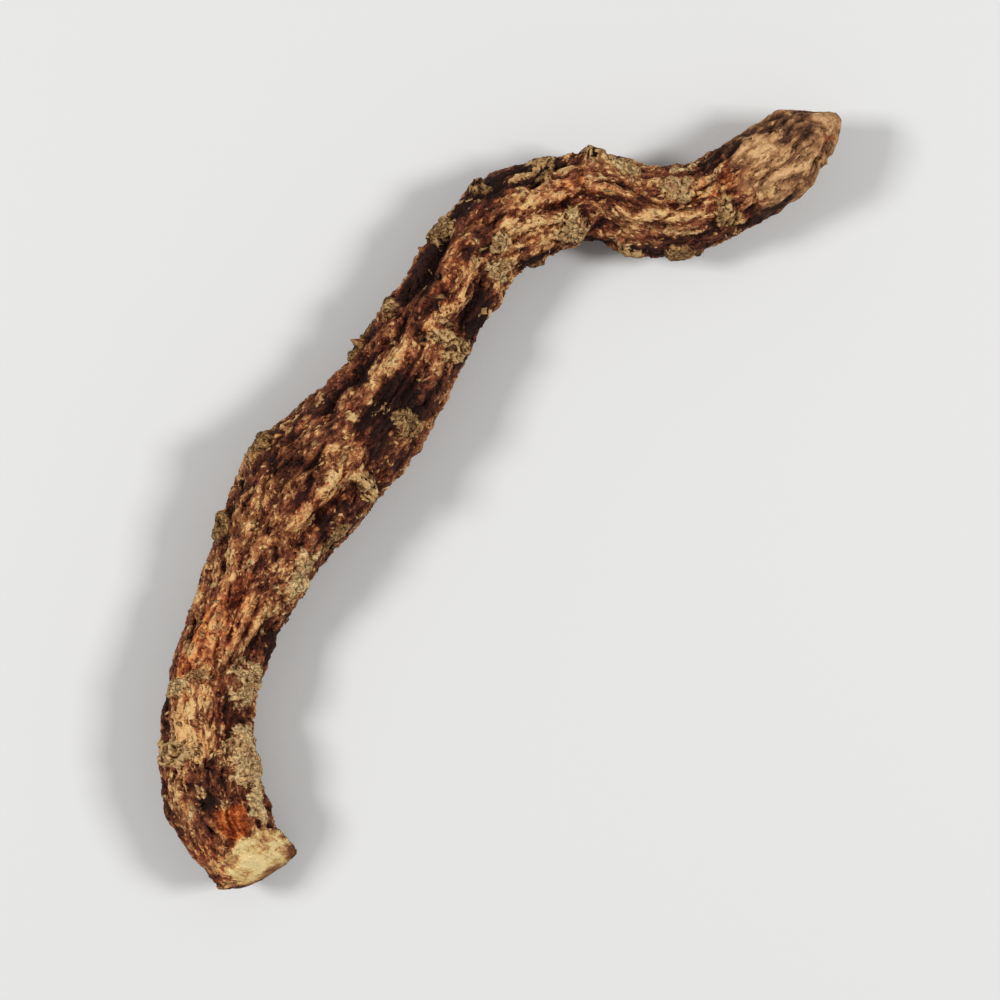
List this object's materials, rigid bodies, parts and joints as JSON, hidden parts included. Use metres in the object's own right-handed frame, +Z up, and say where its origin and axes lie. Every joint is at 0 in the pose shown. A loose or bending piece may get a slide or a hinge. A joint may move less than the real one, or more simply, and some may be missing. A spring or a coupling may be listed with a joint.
{
  "type": "dried rehmannia root",
  "caption": "Whole dried rehmannia root: a crooked, wrinkled brown taproot with corky scars, a slanting pale cut at its thick end and a fibrous tip.",
  "frame": {"origin": "middle of the root's box seen from above, on the surface that the root lies on", "axes": "+Z up from that surface, +Y along the root's longest extent, towards its tip, and +X to the side that the tip is on"},
  "size_m": [0.0685, 0.0779, 0.0116],
  "materials": {
    "bark": "rough, wrinkled and dull, reddish brown with grey-tan cork"
  },
  "bodies": {
    "root": {"rehmannia_root": "bark"}
  },
  "joints": []
}
